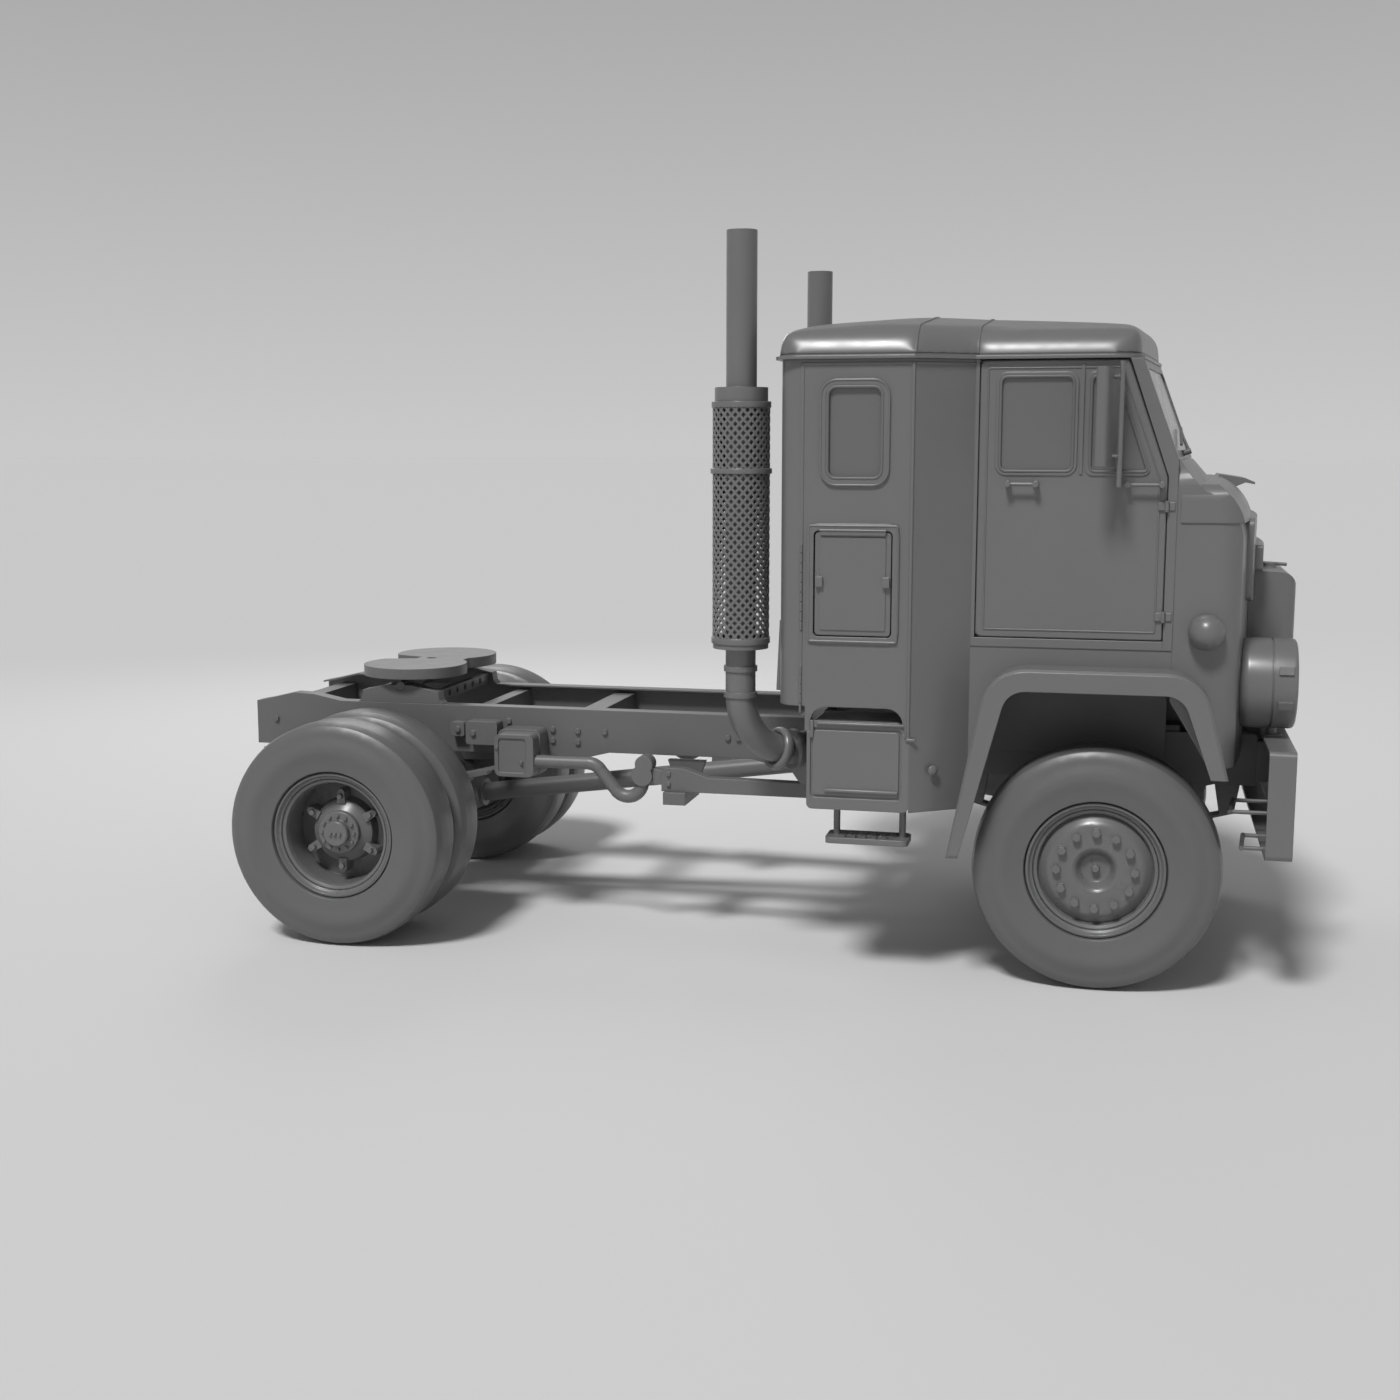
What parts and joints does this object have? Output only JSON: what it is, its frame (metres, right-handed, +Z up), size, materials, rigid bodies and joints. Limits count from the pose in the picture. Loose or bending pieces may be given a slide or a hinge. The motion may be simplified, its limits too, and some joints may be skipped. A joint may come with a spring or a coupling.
{
  "type": "cab-over truck tractor",
  "caption": "Cab-over road tractor with a wide sleeper cab, opening doors and hatches, tall exhaust stacks, steered front wheels, driven rear wheels and a tilting fifth wheel.",
  "frame": {"origin": "middle of the truck's bounding box, on the ground under the tyres", "axes": "+X forward, +Y to the driver's left, +Z up"},
  "size_m": [5.125, 2.5168, 3.3],
  "materials": {
    "body_paint": "satin grey primer",
    "chassis_paint": "flat grey paint",
    "wheel_paint": "satin grey paint",
    "cast_grey": "as cast, painted grey",
    "pipe": "dull grey steel",
    "trim": "satin grey",
    "black_trim": "matte",
    "interior": "matte",
    "upholstery": "woven cloth",
    "tyre": "matte rubber",
    "window": "grey tinted"
  },
  "bodies": {
    "truck": {"frame_rails": "chassis_paint", "crossmembers": "chassis_paint", "suspension": "chassis_paint", "axles": "cast_grey", "powertrain": "cast_grey", "bumper": "body_paint", "cab_floor": "body_paint", "nose": "body_paint", "cab_sides": "body_paint", "sleeper_sides": "body_paint", "sleeper_back": "body_paint", "roof": "body_paint", "fender_flares": "body_paint", "lockers": "body_paint", "headlamps": "trim", "side_lamps": "trim", "grille": "body_paint", "fixed_glass": "window", "wipers": "black_trim", "exhaust_stacks": "pipe", "heat_shields": "pipe", "dashboard": "interior", "seats": "upholstery", "bunk": "upholstery", "fifth_wheel_base": "cast_grey"},
    "fifth_wheel": {"fifth_wheel_plate": "cast_grey"},
    "steering": {"steering_wheel": "black_trim"},
    "right_door": {"door_right": "body_paint", "door_glass_right": "window", "mirror_right": "trim"},
    "left_door": {"door_left": "body_paint", "door_glass_left": "window", "mirror_left": "trim"},
    "right_hatch": {"hatch_right": "body_paint"},
    "left_hatch": {"hatch_left": "body_paint"},
    "right_knuckle": {"knuckle_right": "cast_grey"},
    "left_knuckle": {"knuckle_left": "cast_grey"},
    "track_rod": {"tie_rod": "cast_grey"},
    "right_front_wheel": {"front_tyre_right": "tyre", "front_wheel_right": "wheel_paint"},
    "left_front_wheel": {"front_tyre_left": "tyre", "front_wheel_left": "wheel_paint"},
    "right_rear_wheels": {"rear_tyres_right": "tyre", "rear_wheel_right": "wheel_paint"},
    "left_rear_wheels": {"rear_tyres_left": "tyre", "rear_wheel_left": "wheel_paint"}
  },
  "joints": [
    {"name": "steer_right", "type": "hinge", "parent": "truck", "child": "right_knuckle", "pos_m": [1.7245, -0.7, 0.54], "axis": [0, 0, 1], "range_deg": [-34, 34]},
    {"name": "steer_left", "type": "hinge", "parent": "truck", "child": "left_knuckle", "pos_m": [1.7245, 0.7, 0.54], "axis": [0, 0, 1], "range_deg": [-34, 34]},
    {"name": "tie_rod_swing", "type": "hinge", "parent": "right_knuckle", "child": "track_rod", "pos_m": [1.5345, -0.7, 0.44], "axis": [0, 0, 1], "range_deg": [-34, 34]},
    {"name": "steering_turn", "type": "hinge", "parent": "truck", "child": "steering", "pos_m": [1.7005, 0.62, 2.25], "axis": [-0.5299, 0, 0.848], "range_deg": [-510, 510]},
    {"name": "spin_front_right", "type": "hinge", "parent": "right_knuckle", "child": "right_front_wheel", "pos_m": [1.7245, -0.925, 0.54], "axis": [0, 1, 0], "continuous": true},
    {"name": "spin_front_left", "type": "hinge", "parent": "left_knuckle", "child": "left_front_wheel", "pos_m": [1.7245, 0.925, 0.54], "axis": [0, 1, 0], "continuous": true},
    {"name": "spin_rear_right", "type": "hinge", "parent": "truck", "child": "right_rear_wheels", "pos_m": [-1.8055, -1.062, 0.54], "axis": [0, 1, 0], "continuous": true},
    {"name": "spin_rear_left", "type": "hinge", "parent": "truck", "child": "left_rear_wheels", "pos_m": [-1.8055, 1.062, 0.54], "axis": [0, 1, 0], "continuous": true},
    {"name": "open_door_right", "type": "hinge", "parent": "truck", "child": "right_door", "pos_m": [1.9685, -1.0435, 1.9], "axis": [0, 0, 1], "range_deg": [0, 68]},
    {"name": "open_door_left", "type": "hinge", "parent": "truck", "child": "left_door", "pos_m": [1.9685, 1.0435, 1.9], "axis": [0, 0, -1], "range_deg": [0, 68]},
    {"name": "lift_hatch_right", "type": "hinge", "parent": "truck", "child": "right_hatch", "pos_m": [0.67, -1.2155, 2.013], "axis": [-1, 0, 0], "range_deg": [0, 100]},
    {"name": "lift_hatch_left", "type": "hinge", "parent": "truck", "child": "left_hatch", "pos_m": [0.67, 1.2155, 2.013], "axis": [1, 0, 0], "range_deg": [0, 100]},
    {"name": "tilt_fifth_wheel", "type": "hinge", "parent": "truck", "child": "fifth_wheel", "pos_m": [-1.7625, 0, 1.156], "axis": [0, 1, 0], "range_deg": [-12, 12]}
  ],
  "couplings": [
    {"joint": "steer_left", "follows": "steer_right", "ratio": 1},
    {"joint": "tie_rod_swing", "follows": "steer_right", "ratio": -1},
    {"joint": "steering_turn", "follows": "steer_right", "ratio": 15}
  ]
}
